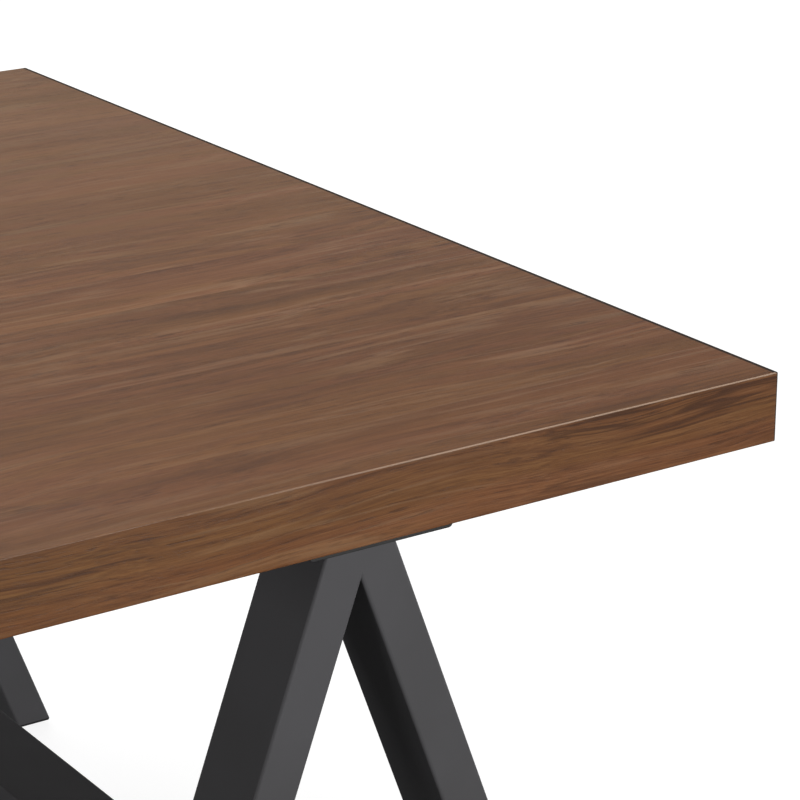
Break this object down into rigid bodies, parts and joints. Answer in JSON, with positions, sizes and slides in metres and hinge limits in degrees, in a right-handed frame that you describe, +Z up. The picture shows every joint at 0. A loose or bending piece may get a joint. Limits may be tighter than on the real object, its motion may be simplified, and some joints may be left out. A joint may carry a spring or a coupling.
{
  "type": "butcher block table",
  "caption": "Thick walnut butcher-block table on two black A-shaped steel end frames, with a top rail, side arms, a low stretcher and levelling glides.",
  "frame": {"origin": "on the floor, under the middle of the top", "axes": "+X along the table's length towards its front end, +Y across it to the right, +Z up"},
  "size_m": [1.325, 0.71, 0.762],
  "materials": {
    "walnut": "satin lacquer over straight-grained walnut, streaked along the staves",
    "black_powder_coat": "matt black powder coat with a fine texture",
    "black_plastic": "moulded black plastic",
    "glide_rubber": "moulded black rubber-faced pad",
    "zinc_steel": "bright zinc plate",
    "black_oxide_steel": "black oxide",
    "brass": "turned brass"
  },
  "bodies": {
    "table": {"stave_01": "walnut", "stave_02": "walnut", "stave_03": "walnut", "stave_04": "walnut", "stave_05": "walnut", "stave_06": "walnut", "stave_07": "walnut", "stave_08": "walnut", "stave_09": "walnut", "stave_10": "walnut", "stave_11": "walnut", "stave_12": "walnut", "stave_13": "walnut", "stave_14": "walnut", "stave_15": "walnut", "front_leg_left": "black_powder_coat", "front_leg_right": "black_powder_coat", "front_crossbar": "black_powder_coat", "front_head_plate": "black_powder_coat", "rear_leg_left": "black_powder_coat", "rear_leg_right": "black_powder_coat", "rear_crossbar": "black_powder_coat", "rear_head_plate": "black_powder_coat", "top_rail": "black_powder_coat", "stretcher": "black_powder_coat", "stretcher_flange_front": "black_powder_coat", "stretcher_flange_rear": "black_powder_coat", "rail_cap_front": "black_plastic", "rail_cap_rear": "black_plastic", "arm_front_left": "black_powder_coat", "arm_front_right": "black_powder_coat", "arm_middle_left": "black_powder_coat", "arm_middle_right": "black_powder_coat", "arm_rear_left": "black_powder_coat", "arm_rear_right": "black_powder_coat", "head_bolts": "zinc_steel", "stretcher_bolts": "zinc_steel", "rivet_nuts": "zinc_steel", "top_washers": "zinc_steel", "top_screws": "black_oxide_steel", "thread_inserts": "brass", "foot_cap_front_left": "black_plastic", "foot_bush_front_left": "brass", "foot_cap_front_right": "black_plastic", "foot_bush_front_right": "brass", "foot_cap_rear_left": "black_plastic", "foot_bush_rear_left": "brass", "foot_cap_rear_right": "black_plastic", "foot_bush_rear_right": "brass"},
    "pad_front_left": {"glide_pad_front_left": "glide_rubber"},
    "stem_front_left": {"glide_stem_front_left": "zinc_steel"},
    "pad_front_right": {"glide_pad_front_right": "glide_rubber"},
    "stem_front_right": {"glide_stem_front_right": "zinc_steel"},
    "pad_rear_left": {"glide_pad_rear_left": "glide_rubber"},
    "stem_rear_left": {"glide_stem_rear_left": "zinc_steel"},
    "pad_rear_right": {"glide_pad_rear_right": "glide_rubber"},
    "stem_rear_right": {"glide_stem_rear_right": "zinc_steel"}
  },
  "joints": [
    {"name": "level_front_left", "type": "slide", "parent": "table", "child": "pad_front_left", "axis": [0, 0, -1], "range_m": [0, 0.01]},
    {"name": "turn_front_left", "type": "hinge", "parent": "pad_front_left", "child": "stem_front_left", "pos_m": [0.5455, -0.2506, 0.02], "axis": [0, 0, -1], "range_deg": [0, 2400.1]},
    {"name": "level_front_right", "type": "slide", "parent": "table", "child": "pad_front_right", "axis": [0, 0, -1], "range_m": [0, 0.01]},
    {"name": "turn_front_right", "type": "hinge", "parent": "pad_front_right", "child": "stem_front_right", "pos_m": [0.5455, 0.2506, 0.02], "axis": [0, 0, -1], "range_deg": [0, 2400.1]},
    {"name": "level_rear_left", "type": "slide", "parent": "table", "child": "pad_rear_left", "axis": [0, 0, -1], "range_m": [0, 0.01]},
    {"name": "turn_rear_left", "type": "hinge", "parent": "pad_rear_left", "child": "stem_rear_left", "pos_m": [-0.5455, -0.2506, 0.02], "axis": [0, 0, -1], "range_deg": [0, 2400.1]},
    {"name": "level_rear_right", "type": "slide", "parent": "table", "child": "pad_rear_right", "axis": [0, 0, -1], "range_m": [0, 0.01]},
    {"name": "turn_rear_right", "type": "hinge", "parent": "pad_rear_right", "child": "stem_rear_right", "pos_m": [-0.5455, 0.2506, 0.02], "axis": [0, 0, -1], "range_deg": [0, 2400.1]}
  ],
  "couplings": [
    {"joint": "turn_front_left", "follows": "level_front_left", "rad_per_m": 4188.8},
    {"joint": "turn_front_right", "follows": "level_front_right", "rad_per_m": 4188.8},
    {"joint": "turn_rear_left", "follows": "level_rear_left", "rad_per_m": 4188.8},
    {"joint": "turn_rear_right", "follows": "level_rear_right", "rad_per_m": 4188.8}
  ]
}
